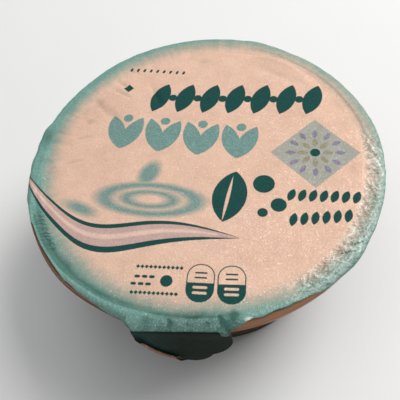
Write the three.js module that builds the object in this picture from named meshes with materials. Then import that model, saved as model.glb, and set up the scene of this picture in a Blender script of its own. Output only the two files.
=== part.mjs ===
// Round one-kilogram tub of soft white cheese, still sealed. It is two pieces: a tapered plastic
// tub with a turned-down rim, modelled solid because it is full and shut, and a thin foil lid
// that is sealed to the rim, wraps over its shoulder and ends in a pull tab folded down in front.
// Millimetres, +Z up. The origin is on the tub's axis, in the plane that it stands on. +Y points
// to the top of the lid's print and the tab hangs on the -Y side.

import * as THREE from 'three';

const { lerp, degToRad, smoothstep } = THREE.MathUtils;

// ---- driving dimensions ------------------------------------------------------------------

const HEIGHT = 76;              // from the table to the foil's seal ring
const RIM_RADIUS = 80.5;        // outside of the foil where it wraps the rim
const FOIL_THICKNESS = 0.4;     // drawn thicker than real foil, so that it is a solid
const GAP = 0.3;                // clearance between the foil and the tub

// Tub
const FLANGE_TOP = HEIGHT - FOIL_THICKNESS - GAP;
const LIP_RADIUS = RIM_RADIUS - FOIL_THICKNESS - GAP;
const SHOULDER = 2.2;           // rounding between the flange and the lip
const LIP_DROP = 5.5;           // how far the lip hangs below the flange
const LIP_WALL = 1.2;
const LIP_FLARE = 0.6;          // how much wider the lip's inside is at its lower edge
const FLANGE_THICKNESS = 1.6;
const FLANGE_INNER_RADIUS = 75.6;
const FILL_TOP = FLANGE_TOP - 1.5;    // top of the solid inside the flange, just under the foil
const NECK_RADIUS = 73.4;       // wall under the flange
const STACK_STEP_DROP = 13.5;   // from the flange down to the step that stacked tubs rest on
const STACK_STEP_WIDTH = 1.7;
const WALL_TOP_RADIUS = NECK_RADIUS - STACK_STEP_WIDTH;
const BASE_RADIUS = 59;
const BASE_FILLET = 4;
const WALL_SLOPE = 8;           // taper of the wall where the fillet meets it, in degrees
const FOOT_INNER_RADIUS = 50;
const BASE_RECESS = 1.2;
const TUB_SEGMENTS = 90;
const ARC_STEPS = 4;

// Foil lid, as a flat blank that is bent over the rim
const FOIL_BEND = SHOULDER + FOIL_THICKNESS + GAP;
const BEND_START = RIM_RADIUS - FOIL_BEND;
const MEMBRANE_DROP = 0.4;      // how far the foil sags inside the seal ring
const MEMBRANE_WAVE = 0.25;     // height of its soft undulation
const GROOVE_RADIUS = 73.2;     // pressed line just inside the flange
const GROOVE_HALF_WIDTH = 2.2;
const GROOVE_DEPTH = 1.1;

// Length of foil past the start of the bend, against the angle from the tab, in degrees. It is
// short to the left and right of the tab, where the lip shows, because the lid sits off centre.
const SKIRT_LENGTHS = [
  [-180, 6.0], [-140, 6.4], [-100, 5.6], [-78, 3.2], [-64, 2.0], [-54, 0.4], [-38, 1.7],
  [-18, 6.0], [9, 4.4], [16, 1.4], [25, 1.1], [33, 2.1], [40, 4.6], [52, 6.8], [90, 7.0],
  [130, 6.2], [180, 6.0],
];

// Pull tab, a rounded tongue
const TAB_X = -5;               // its centre line
const TAB_HALF_WIDTH = 18;
const TAB_LENGTH = 29.5;
const TAB_ROOT_BLEND = 3;       // fillet between the tongue and the round blank
const TAB_BOW = 1;              // how far its sides curl in towards the tub
const FOLD_Y = -80.1;           // the straight line where the tab turns down
const FOLD_RADIUS = 0.8;
const TAB_TILT = degToRad(3);
const TAB_LEFT_ANGLES = [-22, -16];   // the skirt turns into the tab between these angles
const TAB_RIGHT_ANGLES = [14, 8.5];

// Mesh of the foil
const INNER_RINGS = [26, 50, 66, 71, 72.1, 73.2, 74.3, 75.4];
const OUTER_RINGS = 8;
const FINE_FROM = -24;          // finer steps round the tab
const FINE_TO = 18;
const FINE_STEPS = 32;
const COARSE_STEPS = 104;

const PLASTIC = { color: 0xd9b7a0, roughness: 0.45, metalness: 0 };
const FOIL = { color: 0xd8b9a2, roughness: 0.42, metalness: 0.35 };

// ---- helpers -----------------------------------------------------------------------------

function named(name, geometry, finish) {
  const mesh = new THREE.Mesh(geometry, new THREE.MeshStandardMaterial(finish));
  mesh.name = name;
  return mesh;
}

// Points of an arc in the profile plane, angles in degrees from +r towards +z.
function arc(centreR, centreZ, radius, from, to, steps) {
  return Array.from({ length: steps + 1 }, (_, i) => {
    const angle = degToRad(lerp(from, to, i / steps));
    return [centreR + radius * Math.cos(angle), centreZ + radius * Math.sin(angle)];
  });
}

// ---- tub ---------------------------------------------------------------------------------

// Radius and height down the outside from the foot to the flange and in to the axis again.
function tubProfile() {
  const underFlange = FLANGE_TOP - FLANGE_THICKNESS;
  const lipBottom = FLANGE_TOP - LIP_DROP;
  const stepTop = FLANGE_TOP - STACK_STEP_DROP;
  return [
    [0, BASE_RECESS],
    [FOOT_INNER_RADIUS - BASE_RECESS, BASE_RECESS],
    [FOOT_INNER_RADIUS, 0],
    ...arc(BASE_RADIUS - BASE_FILLET, BASE_FILLET, BASE_FILLET, -90, -WALL_SLOPE, ARC_STEPS),
    [WALL_TOP_RADIUS, stepTop - STACK_STEP_WIDTH],
    [NECK_RADIUS, stepTop],
    [NECK_RADIUS, underFlange],
    [LIP_RADIUS - LIP_WALL - LIP_FLARE, underFlange],
    [LIP_RADIUS - LIP_WALL, lipBottom],
    [LIP_RADIUS, lipBottom],
    ...arc(LIP_RADIUS - SHOULDER, FLANGE_TOP - SHOULDER, SHOULDER, 0, 90, ARC_STEPS),
    [FLANGE_INNER_RADIUS, FLANGE_TOP],
    [FLANGE_INNER_RADIUS - 1, FILL_TOP],
    [0, FILL_TOP],
  ];
}

function makeTub() {
  const profile = tubProfile().map(([r, z]) => new THREE.Vector2(r, z));
  const geometry = new THREE.LatheGeometry(profile, TUB_SEGMENTS).rotateX(Math.PI / 2);
  return named('tub', geometry, PLASTIC);
}

// ---- foil lid ----------------------------------------------------------------------------

// How much a direction belongs to the tab: 1 in the tab, 0 in the plain skirt.
function tabShare(fromTab) {
  const left = smoothstep(fromTab, ...TAB_LEFT_ANGLES);
  const right = 1 - smoothstep(fromTab, TAB_RIGHT_ANGLES[1], TAB_RIGHT_ANGLES[0]);
  return left * right;
}

function skirtLength(fromTab) {
  const next = SKIRT_LENGTHS.findIndex(([angle]) => angle >= fromTab);
  const [a0, l0] = SKIRT_LENGTHS[Math.max(next - 1, 0)];
  const [a1, l1] = SKIRT_LENGTHS[Math.max(next, 1)];
  return lerp(l0, l1, smoothstep(fromTab, a0, a1));
}

// Distance from the axis to the far side of the tongue's outline along one direction.
function tongueReach(dx, dy) {
  const k = (TAB_HALF_WIDTH / TAB_LENGTH) ** 2;
  const a = dx * dx + k * dy * dy;
  const b = dx * TAB_X + k * dy * FOLD_Y;
  const c = TAB_X * TAB_X + k * FOLD_Y * FOLD_Y - TAB_HALF_WIDTH ** 2;
  const discriminant = b * b - a * c;
  return discriminant > 0 && b > 0 ? (b + Math.sqrt(discriminant)) / a : 0;
}

// Everything about the blank along one direction from its centre.
function spoke(fromTab) {
  const angle = degToRad(fromTab - 90);
  const dx = Math.cos(angle);
  const dy = Math.sin(angle);
  const share = tabShare(fromTab);
  const fold = share > 0 ? FOLD_Y / dy : BEND_START;
  const plain = BEND_START + skirtLength(fromTab);
  const edge = smoothMax(plain, tongueReach(dx, dy), TAB_ROOT_BLEND);
  return { dx, dy, share, fold, edge };
}

function smoothMax(a, b, blend) {
  const h = Math.max(blend - Math.abs(a - b), 0) / blend;
  return Math.max(a, b) + (h * h * blend) / 4;
}

// Height of the foil inside the bend: seal ring, pressed groove and slack membrane.
function lidHeight(x, y) {
  const r = Math.hypot(x, y);
  const inside = 1 - smoothstep(r, GROOVE_RADIUS - GROOVE_HALF_WIDTH, GROOVE_RADIUS + GROOVE_HALF_WIDTH);
  const t = Math.min(Math.abs(r - GROOVE_RADIUS) / GROOVE_HALF_WIDTH, 1);
  const wave = Math.sin(x / 17 + y / 31) + Math.sin(y / 14 - x / 45 + 1.3);
  return HEIGHT - inside * (MEMBRANE_DROP + MEMBRANE_WAVE * wave) - GROOVE_DEPTH * (1 - t * t) ** 2;
}

// The outer face of the foil: a point of the flat blank, bent to where it lies on the tub.
function foilPoint(way, s) {
  const x = s * way.dx;
  const y = s * way.dy;

  const along = Math.max(s - BEND_START, 0);
  const turn = Math.min(along / FOIL_BEND, Math.PI / 2);
  const r = Math.min(s, BEND_START) + FOIL_BEND * Math.sin(turn);
  const fall = FOIL_BEND * (1 - Math.cos(turn)) + along - FOIL_BEND * turn;
  const skirt = [r * way.dx, r * way.dy, lidHeight(x, y) - fall];

  const past = Math.max(FOLD_Y - y, 0);
  const fold = Math.min(past / FOLD_RADIUS, Math.PI / 2 - TAB_TILT);
  const hang = past - FOLD_RADIUS * fold;
  const bow = (TAB_BOW * hang * (x - TAB_X) ** 2) / (TAB_LENGTH * TAB_HALF_WIDTH ** 2);
  const tab = [
    x,
    Math.max(y, FOLD_Y) - FOLD_RADIUS * Math.sin(fold) - hang * Math.sin(TAB_TILT) + bow,
    lidHeight(x, y) - FOLD_RADIUS * (1 - Math.cos(fold)) - hang * Math.cos(TAB_TILT),
  ];
  return new THREE.Vector3(...skirt).lerp(new THREE.Vector3(...tab), way.share);
}

// The inner face, one thickness behind the outer one.
function foilBack(fromTab, s) {
  const step = 0.02;
  const way = spoke(fromTab);
  const here = foilPoint(way, s);
  const out = foilPoint(way, s + step).sub(here);
  const round = foilPoint(spoke(fromTab + step), s).sub(here);
  return here.addScaledVector(out.cross(round).normalize(), -FOIL_THICKNESS);
}

function foilDirections() {
  const directions = [];
  for (let j = 0; j < FINE_STEPS; j++) {
    directions.push(lerp(FINE_FROM, FINE_TO, j / FINE_STEPS));
  }
  for (let j = 0; j < COARSE_STEPS; j++) {
    const angle = lerp(FINE_TO, FINE_FROM + 360, j / COARSE_STEPS);
    directions.push(angle > 180 ? angle - 360 : angle);
  }
  return directions;
}

// Distances from the centre of the rings of points along one direction. Past the start of the
// bend they are even in the skirt, and in the tab they crowd towards its fold.
function ringReaches(way) {
  const outer = [BEND_START];
  for (let k = 1; k <= OUTER_RINGS; k++) {
    const inSkirt = lerp(BEND_START, way.edge, k / OUTER_RINGS);
    const inTab = lerp(way.fold, way.edge, ((k - 1) / (OUTER_RINGS - 1)) ** 2);
    outer.push(lerp(inSkirt, inTab, way.share));
  }
  return [...INNER_RINGS, ...outer];
}

function makeFoilLid() {
  const directions = foilDirections();
  const count = directions.length;
  const rings = INNER_RINGS.length + OUTER_RINGS + 1;
  const front = [];
  const back = [];
  for (const fromTab of directions) {
    const way = spoke(fromTab);
    for (const s of ringReaches(way)) {
      front.push(foilPoint(way, s).toArray());
      back.push(foilBack(fromTab, s).toArray());
    }
  }
  const centre = lidHeight(0, 0);
  const points = [...front, ...back, [0, 0, centre], [0, 0, centre - FOIL_THICKNESS]];
  const frontAt = (j, i) => (j % count) * rings + i;
  const backAt = (j, i) => front.length + frontAt(j, i);
  const triangles = [];
  for (let j = 0; j < count; j++) {
    triangles.push([2 * front.length, frontAt(j, 0), frontAt(j + 1, 0)]);
    triangles.push([2 * front.length + 1, backAt(j + 1, 0), backAt(j, 0)]);
    for (let i = 0; i < rings - 1; i++) {
      triangles.push([frontAt(j, i), frontAt(j, i + 1), frontAt(j + 1, i + 1)]);
      triangles.push([frontAt(j, i), frontAt(j + 1, i + 1), frontAt(j + 1, i)]);
      triangles.push([backAt(j, i), backAt(j + 1, i + 1), backAt(j, i + 1)]);
      triangles.push([backAt(j, i), backAt(j + 1, i), backAt(j + 1, i + 1)]);
    }
    triangles.push([frontAt(j, rings - 1), backAt(j, rings - 1), backAt(j + 1, rings - 1)]);
    triangles.push([frontAt(j, rings - 1), backAt(j + 1, rings - 1), frontAt(j + 1, rings - 1)]);
  }
  const geometry = new THREE.BufferGeometry();
  geometry.setAttribute('position', new THREE.Float32BufferAttribute(points.flat(), 3));
  geometry.setIndex(triangles.flat());
  geometry.computeVertexNormals();
  return named('foil_lid', geometry, FOIL);
}

const group = new THREE.Group();
group.add(makeTub(), makeFoilLid());

export default group;
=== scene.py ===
# Looks of a sealed one-kilogram tub of fromage blanc: a tapered plastic tub, and a printed and
# embossed foil lid that is crimped over its rim and has a pull tab folded down in front.
# Shapes are worked out in millimetres and turned into metres when a mesh is made.

from functools import reduce

import bpy
import numpy as np
from mathutils import Matrix, Vector


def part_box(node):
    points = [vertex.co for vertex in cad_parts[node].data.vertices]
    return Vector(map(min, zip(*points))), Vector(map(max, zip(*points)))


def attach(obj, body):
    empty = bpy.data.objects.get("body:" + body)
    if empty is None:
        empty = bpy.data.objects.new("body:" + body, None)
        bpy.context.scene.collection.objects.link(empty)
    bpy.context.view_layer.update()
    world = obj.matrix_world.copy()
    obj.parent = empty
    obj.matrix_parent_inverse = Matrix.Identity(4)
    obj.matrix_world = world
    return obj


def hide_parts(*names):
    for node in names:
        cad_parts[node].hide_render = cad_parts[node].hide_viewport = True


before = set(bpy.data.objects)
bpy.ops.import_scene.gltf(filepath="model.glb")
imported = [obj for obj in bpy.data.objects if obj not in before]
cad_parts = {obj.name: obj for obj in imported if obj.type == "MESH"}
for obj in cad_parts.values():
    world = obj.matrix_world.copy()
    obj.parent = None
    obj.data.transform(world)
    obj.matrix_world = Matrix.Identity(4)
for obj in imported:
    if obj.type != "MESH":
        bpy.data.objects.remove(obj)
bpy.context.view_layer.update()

METRES = 0.001

# ---- sizes from the frame, in millimetres ----

FOIL_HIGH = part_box("foil_lid")[1] / METRES
TUB_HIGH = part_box("tub")[1] / METRES

HEIGHT = 76.0  # table to seal ring, the foil's highest waves reach 0.05 above it
RIM_RADIUS = FOIL_HIGH.y  # outside of the foil round the rim

# ---- foil lid, as a flat blank that is bent over the rim ----

FOIL_THICKNESS = 0.12
RELIEF_LIMIT = 0.4  # how deep a wrinkle can be where the tub's rim backs the foil
FOIL_BEND = 2.9
BEND_START = RIM_RADIUS - FOIL_BEND
MEMBRANE_DROP = 0.45
MEMBRANE_WAVE = 0.25
MEMBRANE_FROM, MEMBRANE_TO = 71.0, 75.4
GROOVE_RADIUS = 73.2  # where the pressed groove is deepest, on the right and far side
NEAR_GROOVE_RADIUS = 75.6  # and on the near left side
GROOVE_FALL = 5.5  # width of its inner and of its outer slope
GROOVE_RISE = 1.6

# Length of foil past the start of the bend, against the angle from the tab in degrees.
SKIRT_LENGTHS = [
    (-180, 6.0), (-140, 6.4), (-100, 5.6), (-78, 3.0), (-70, 1.5), (-62, 0.3), (-50, 0.3), (-38, 1.7),
    (-18, 6.0), (9, 4.4), (16, 1.4), (25, 1.1), (33, 2.1), (40, 4.6), (52, 6.8), (90, 7.0),
    (130, 6.2), (180, 6.0),
]
SHORTEST_SKIRT = 0.35
RAGGED = 0.3  # how far the skirt's torn edge strays
KNOCK_REACH = (68, 77)  # distances from the centre over which knocks of the rim grow

TAB_X = -5.2
TAB_HALF_WIDTH = 18.8
TAB_LENGTH = 33.2
TAB_BULGES = [  # middle and size of ovals that fill out its lower right
    ((4.5, -90.0), (10.0, 17.4)),
    ((-2.6, -100.0), (9.5, 14.6)),
]
TAB_ROOT_BLEND = 3.0
TAB_BOW = 1.3
FOLD_Y = -80.1
FOLD_RADIUS = 0.8
TAB_TILT = np.radians(-0.2)
SEAL_SLOPE = 1.0  # how much lower the foil is at the fold than on the seal ring
TAB_TIP_X = 12.0  # where a tip of the rim's colour hangs below the fold
TAB_TIP_HALF_WIDTH = 2.3
TAB_TIP_LENGTH = 4.0
TAB_LEFT_ANGLES = (-22, -16)
TAB_RIGHT_ANGLES = (8.5, 14)

CURL_WIDTH = 3.7  # strip of the tab's lower left edge that has rolled outwards
CURL_RADIUS = 0.78
CURL_ANGLES = (-17, -12, -6, -2)

INNER_RINGS = 24  # rings of points on the membrane, the seal ring and past the bend
SEAL_RINGS = 28
OUTER_RINGS = 22
SEAL_FROM = 68.5
FIRST_RING = 3.0
COLUMNS = [(-24, 24, 0.42), (24, 100, 0.3), (100, 230, 0.8), (230, 336, 0.5)]  # from, to, step
BACK_STRIDE = 3  # the hidden back of the membrane has one ring in so many
BACK_SLACK = 1.8  # and lies this much lower
FOIL_SHARP_ANGLE = 70  # edges that turn more than this, in degrees, are drawn sharp

# ---- tub ----

FLANGE_TOP = TUB_HIGH.z - 0.25
LIP_RADIUS = TUB_HIGH.x + 0.05
SHOULDER = 2.2
LIP_DROP = 6.1
LIP_WALL = 1.1
LIP_BEAD = 0.5  # how far the rounded lower edge stands out from the lip
FLANGE_THICKNESS = 1.6
FLANGE_INNER_RADIUS = 77.7
FILL_DROP = 4.2  # from the flange down to the closed top inside it
NECK_RADIUS = 73.4
STACK_STEP_DROP = 13.8
STACK_STEP_WIDTH = 1.7
WALL_TOP_RADIUS = NECK_RADIUS - STACK_STEP_WIDTH
BASE_RADIUS = 58.3
BASE_FILLET = 4.0
WALL_SLOPE = 8
FOOT_INNER_RADIUS = 50.0
BASE_RECESS = 1.2
TUB_KNOCK_HEIGHTS = (30, 70)  # heights over which knocks of the rim grow
TUB_SEGMENTS = 288
TUB_SHARP_ANGLE = 50
ARC_STEPS = 8

# ---- camera ----

CAMERA_AZIMUTH = 10.7
CAMERA_ELEVATION = 56.32
CAMERA_ROLL = -9.741
CAMERA_DISTANCE = 240.0
CAMERA_LENS = 50.45
CAMERA_TARGET = (0.082, -22.471, HEIGHT)

# ---- colours, linear ----

PEACH = (0.80, 0.53, 0.40)
PEACH_SHADE = (0.745, 0.485, 0.36)
TEAL_RIM = (0.155, 0.33, 0.285)
TEAL_INK = (0.15, 0.285, 0.262)
DARK_INK = (0.010, 0.068, 0.062)
LILAC = (0.56, 0.37, 0.33)
CREAM = (0.86, 0.62, 0.48)
DIAMOND_GREY = (0.37, 0.37, 0.315)
OLIVE = (0.29, 0.265, 0.17)
VIOLET = (0.225, 0.20, 0.29)
# the tab's ink is painted near black as shade, and less dark on its left where less shade is painted
TAB_INK_IN_SHADE = (0.003, 0.011, 0.006)
TAB_INK_LESS_SHADED = (0.012, 0.045, 0.036)
FOIL_BACK = (0.24, 0.12, 0.075)
FOIL_BACK_LIGHT = (0.48, 0.26, 0.17)
FLAKE = (0.92, 0.88, 0.82)  # glints in the foil, and the painted highlight along the tub's bead
SILVER = (0.86, 0.93, 0.87)  # bare foil where the ink has worn off, also the colour of the painted highlights and sheen on the crimps
PLASTIC = (0.46, 0.23, 0.128)
# the wall's colour is painted shade: the plastic as it looks in shadow under the lip
WALL_IN_SHADE = (0.030, 0.0225, 0.013)
PAINTED_SHADE_TINT = (0.31, 0.42, 0.40)  # what the print is multiplied by where shade is painted: creases, wrinkles, dents and the deep groove
FLOOR = (0.88, 0.88, 0.875)
FLOOR_REACH = 4000.0  # millimetres from the middle to each edge
KEY_LIGHT = (1.0, 0.985, 0.96)
SKY = (0.93, 0.96, 1.0)
SKY_STRENGTH = 0.15


# ==== helpers ====

NOISE_TABLE = (251, 257)  # size of the table of random draws that a noise repeats


def ramp(x, start, end):
    """0 before start, 1 after end, smooth between them."""
    t = np.clip((np.asarray(x, float) - start) / (end - start), 0, 1)
    return t * t * (3 - 2 * t)


def hill(x, centre, half_width):
    """1 at the centre, 0 from half_width away, smooth between them."""
    t = np.clip(np.abs(np.asarray(x, float) - centre) / half_width, 0, 1)
    return (1 - t * t) ** 2


def between(x, a, b, c, d):
    """Rises from a to b and falls again from c to d."""
    return ramp(x, a, b) * (1 - ramp(x, c, d))


def noise(u, v, seed, wrap=4096):
    """Smooth noise from -1 to 1 on the whole numbers of u and v. It repeats in u after wrap."""
    table = np.random.default_rng(seed).uniform(-1, 1, NOISE_TABLE)
    i = np.floor(u).astype(int)
    j = np.floor(v).astype(int)
    f = ramp(u - i, 0, 1)
    g = ramp(v - j, 0, 1)
    columns = [(k % wrap) % NOISE_TABLE[0] for k in (i, i + 1)]
    rows = [k % NOISE_TABLE[1] for k in (j, j + 1)]
    near = table[columns[0], rows[0]] * (1 - f) + table[columns[1], rows[0]] * f
    far = table[columns[0], rows[1]] * (1 - f) + table[columns[1], rows[1]] * f
    return near * (1 - g) + far * g


def ring_noise(angle, count, v, seed):
    """Noise with count steps round the full circle, angle in degrees."""
    return noise(angle / 360 * count, v, seed, wrap=count)


def arc(centre_r, centre_z, radius, start, end, steps=ARC_STEPS):
    """Points of an arc in the profile plane, angles in degrees from outwards to upwards."""
    angles = np.radians(np.linspace(start, end, steps + 1))
    return [(centre_r + radius * np.cos(a), centre_z + radius * np.sin(a)) for a in angles]


def add_mesh(name, points, faces, material):
    """A smooth-shaded object from points in millimetres."""
    mesh = bpy.data.meshes.new(name)
    mesh.from_pydata((np.asarray(points) * METRES).tolist(), [], faces)
    mesh.polygons.foreach_set("use_smooth", [True] * len(mesh.polygons))
    mesh.materials.append(material)
    mesh.update()
    piece = bpy.data.objects.new(name, mesh)
    bpy.context.scene.collection.objects.link(piece)
    return piece


# ==== materials as formulas ====

# Places of the Mix node's two inputs and of its output, for each kind of data.
MIX_SOCKETS = {"RGBA": (6, 7, 2), "VECTOR": (4, 5, 1)}


class Field:
    """A number or vector that varies over a surface: the output of a shader node."""

    def __init__(self, paint, socket):
        self.paint = paint
        self.socket = socket

    def math(self, operation, *others, clamp=False):
        node = self.paint.node("ShaderNodeMath", [self, *others], operation=operation, use_clamp=clamp)
        return Field(self.paint, node.outputs[0])

    def vector(self, operation, *others):
        node = self.paint.node("ShaderNodeVectorMath", [self, *others], operation=operation)
        single = operation in ("LENGTH", "DISTANCE", "DOT_PRODUCT")
        return Field(self.paint, node.outputs[1 if single else 0])

    def __add__(self, other):
        return self.math("ADD", other)

    def __sub__(self, other):
        return self.math("SUBTRACT", other)

    def __mul__(self, other):
        return self.math("MULTIPLY", other)

    def __truediv__(self, other):
        return self.math("DIVIDE", other)

    def __neg__(self):
        return self.math("MULTIPLY", -1.0)

    def split(self, count=2):
        node = self.paint.node("ShaderNodeSeparateXYZ", [self])
        return [Field(self.paint, socket) for socket in node.outputs[:count]]

    def seen_from(self, centre, angle=0.0, scale=(1.0, 1.0)):
        """These coordinates from a frame at centre, turned by angle in degrees and scaled."""
        turn = (0.0, 0.0, float(np.radians(angle)))
        values = [self, (*centre, 0.0), turn, (*scale, 1.0)]
        node = self.paint.node("ShaderNodeMapping", values, vector_type="TEXTURE")
        return Field(self.paint, node.outputs[0])


class Paint:
    """One material, with its Principled shader's inputs set from numbers, colours and fields."""

    def __init__(self, name):
        self.material = bpy.data.materials.new(name)
        self.material.use_nodes = True
        self.tree = self.material.node_tree
        self.shader = self.tree.nodes["Principled BSDF"]

    def put(self, socket, value):
        if isinstance(value, Field):
            self.tree.links.new(value.socket, socket)
        elif socket.type == "RGBA":
            socket.default_value = (*value, 1.0)
        else:
            socket.default_value = value

    def node(self, kind, values=(), named=None, **settings):
        node = self.tree.nodes.new(kind)
        for key, value in settings.items():
            setattr(node, key, value)
        for socket, value in zip(node.inputs, values):
            self.put(socket, value)
        for key, value in (named or {}).items():
            self.put(node.inputs[key], value)
        return node

    def set(self, **values):
        for key, value in values.items():
            self.put(self.shader.inputs[key.replace("_", " ")], value)

    def coordinates(self, attribute=None):
        if attribute:
            node = self.node("ShaderNodeAttribute", attribute_name=attribute)
            return Field(self, node.outputs["Vector"])
        return Field(self, self.node("ShaderNodeTexCoord").outputs["Object"])

    def mix(self, share, a, b, kind="RGBA"):
        first, second, output = MIX_SOCKETS[kind]
        node = self.node("ShaderNodeMix", data_type=kind)
        for index, value in ((0, share), (first, a), (second, b)):
            self.put(node.inputs[index], value)
        return Field(self, node.outputs[output])

    def combine(self, x, y, z=0.0):
        return Field(self, self.node("ShaderNodeCombineXYZ", [x, y, z]).outputs[0])

    def noise(self, at, size, detail=2.0, roughness=0.5):
        """Noise from 0 to 1 with features of about size, in the units of at."""
        named = {"Vector": at, "Scale": 1 / size, "Detail": detail, "Roughness": roughness}
        return Field(self, self.node("ShaderNodeTexNoise", named=named).outputs["Fac"])

    def cells(self, at, size):
        """Three numbers from 0 to 1 for each cell of an irregular mosaic."""
        node = self.node("ShaderNodeTexVoronoi", named={"Vector": at, "Scale": 1 / size})
        return Field(self, node.outputs["Color"]).split(3)

    def stretch(self, value, low, high, to_low=0.0, to_high=1.0, smooth=False):
        """Goes from to_low to to_high as value goes from low to high, and stays there beyond."""
        kind = "SMOOTHSTEP" if smooth else "LINEAR"
        node = self.node("ShaderNodeMapRange", interpolation_type=kind)
        for index, number in enumerate((value, low, high, to_low, to_high)):
            self.put(node.inputs[index], number)
        return Field(self, node.outputs[0])

    def relief(self, height, depth, normal=None):
        """Normal of a surface with this relief, of height 1 at a depth in metres."""
        named = {"Height": height, "Distance": depth, "Strength": 1.0}
        if normal:
            named["Normal"] = normal
        return Field(self, self.node("ShaderNodeBump", named=named).outputs[0])


# Signed distances, negative inside, of the print's shapes. Each takes the coordinates p.

def disc(p, radius):
    return p.vector("LENGTH") - radius


def oval(p, centre, angle, a, b):
    return (p.seen_from(centre, angle, (a, b)).vector("LENGTH") - 1.0) * min(a, b)


def leaf(p, half_length, half_width):
    """Pointed at both ends, along the first coordinate."""
    radius = (half_length ** 2 + half_width ** 2) / (2 * half_width)
    return p.vector("ABSOLUTE").vector("DISTANCE", (0.0, half_width - radius, 0.0)) - radius


def pill(p, half_length, half_width, rounding=None):
    rounding = min(half_length, half_width) if rounding is None else rounding
    corner = (half_length - rounding, half_width - rounding, 0.0)
    outside = p.vector("ABSOLUTE").vector("SUBTRACT", corner).vector("MAXIMUM", (0.0, 0.0, 0.0))
    return outside.vector("LENGTH") - rounding


def lozenge(p, half_length, half_width):
    reach = p.vector("ABSOLUTE").vector("DOT_PRODUCT", (1 / half_length, 1 / half_width, 0.0))
    return (reach - 1.0) * (half_length * half_width / float(np.hypot(half_length, half_width)))


def in_row(p, pitch, count):
    """Coordinates that start again in each of count places along the first coordinate."""
    x, y = p.split()
    half = (count - 1) / 2
    offset = half % 1
    place = ((x / pitch - offset).math("ROUND") + offset).math("MAXIMUM", -half).math("MINIMUM", half)
    return p.paint.combine(x - place * pitch, y)


def in_ring(p, count, turn=0.0):
    """Coordinates that start again in each of count sectors, with each sector's middle ahead."""
    x, y = p.split()
    step = 2 * np.pi / count
    sector = (y.math("ARCTAN2", x) / step - turn).math("ROUND") + turn
    node = p.paint.node("ShaderNodeVectorRotate", rotation_type="Z_AXIS", named={"Vector": p})
    p.paint.put(node.inputs["Angle"], sector * -step)
    return Field(p.paint, node.outputs[0])


def union(shapes):
    return reduce(lambda a, b: a.math("MINIMUM", b), shapes)


def cut(a, b):
    """What of a lies outside b."""
    return a.math("MAXIMUM", -b)


def ink(distance, edge):
    """How much ink a shape has laid down: 1 inside, 0 outside, over a soft edge in millimetres."""
    return (distance / -edge + 0.5).math("ADD", 0.0, clamp=True)


# ==== the lid's print ====
# Places are millimetres on the flat blank, from its centre.

FIELD_CENTRE = (2.8, 1.2)  # middle of the peach field
TEAL_REACH = (66.5, 78.5)  # distances from it over which the field turns to teal
DIAMOND = ((50.3, 2.2), -3.0)  # its middle, and its turn in degrees
RIBBON_ENDS = (-90.0, 18.0)
RIBBON_HALF_WIDTH = 5.6


def leaf_frieze(p):
    """Row of slanted leaves with a ball in each gap."""
    middle = p.seen_from((14.5, 36.0), -3.4)
    pitch = 12.2
    leaves = in_row(middle, pitch, 7)
    balls = in_row(middle, pitch, 6)
    return union([leaf(leaves.seen_from((0, 0), 72), 9.6, 4.3), disc(balls, 2.1)])


def sprout_row(p):
    """Row of larger sprouts, each of two leaves and a ball."""
    row = in_row(p.seen_from((-10.6, 13.2), -7.3), 18.2, 4)
    return union([
        leaf(row.seen_from((-3.7, 0.0), 110), 10.2, 4.1),
        leaf(row.seen_from((3.7, 0.0), 70), 10.2, 4.1),
        disc(row.seen_from((0, 8.6)), 2.3),
    ])


def large_leaf(p):
    """Upright leaf with a bare vein, and three balls beside it."""
    body = leaf(p.seen_from((12.7, -20.3), 78), 13.4, 7.4)
    vein = leaf(p.seen_from((11.9, -21.4), 79), 11.6, 0.75)
    balls = [((27.4, -14.2), 4.7), ((33.4, -25.2), 3.4), ((26.6, -28.9), 2.2)]
    return union([cut(body, vein), *(disc(p.seen_from(centre), r) for centre, r in balls)])


def small_leaf_rows(p):
    pitch = 4.5
    first = in_row(p.seen_from((52.4, -21.2), -4.3), pitch, 7)
    second = in_row(p.seen_from((50.4, -31.7), 3.6), pitch, 6)
    return union([leaf(row.seen_from((0, 0), 70), 3.3, 1.65) for row in (first, second)])


def lozenge_block(p):
    """Two rows of small lozenges, with two rows of bars and a disc between them."""
    slant = -3.2
    edges = [in_row(p.seen_from(centre, slant), 1.78, 11) for centre in ((-14.7, -54.2), (-16.3, -65.3))]
    bars = [in_row(p.seen_from(centre, slant), 3.0, 3) for centre in ((-20.5, -58.2), (-21.8, -61.3))]
    return union([
        *(lozenge(row, 0.88, 0.88) for row in edges),
        *(pill(row, 1.15, 0.62) for row in bars),
        disc(p.seen_from((-11.6, -60.2)), 2.5),
    ])


def capsules(p):
    """Two outlined capsules, the lower half of each filled, with bars in both halves."""
    line_width = 0.45
    shapes = []
    for centre, angle in (((1.9, -61.0), -3.0), ((14.2, -61.7), -1.0)):
        own = p.seen_from(centre, angle)
        outer = pill(own, 5.6, 8.1, rounding=5.4)
        outline = cut(outer, outer + line_width)
        lower = outer.math("MAXIMUM", own.split()[1])
        light_bars = pill(in_row(own.seen_from((0, -3.1), 90), 2.3, 2), 0.55, 2.9)
        dark_bars = pill(in_row(own.seen_from((0, 3.2), 90), 2.1, 2), 0.36, 2.5)
        shapes += [outline, cut(lower, light_bars), dark_bars]
    return union(shapes)


def small_marks(p):
    """Fine row of dots under the upper edge, and one lozenge below it."""
    dots = in_row(p.seen_from((-25.2, 56.6), -7.5), 3.4, 9)
    mark = lozenge(p.seen_from((-38.7, 45.0)), 2.6, 2.6)
    return union([pill(dots.seen_from((0, 0), 78), 1.15, 0.62), mark])


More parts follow.
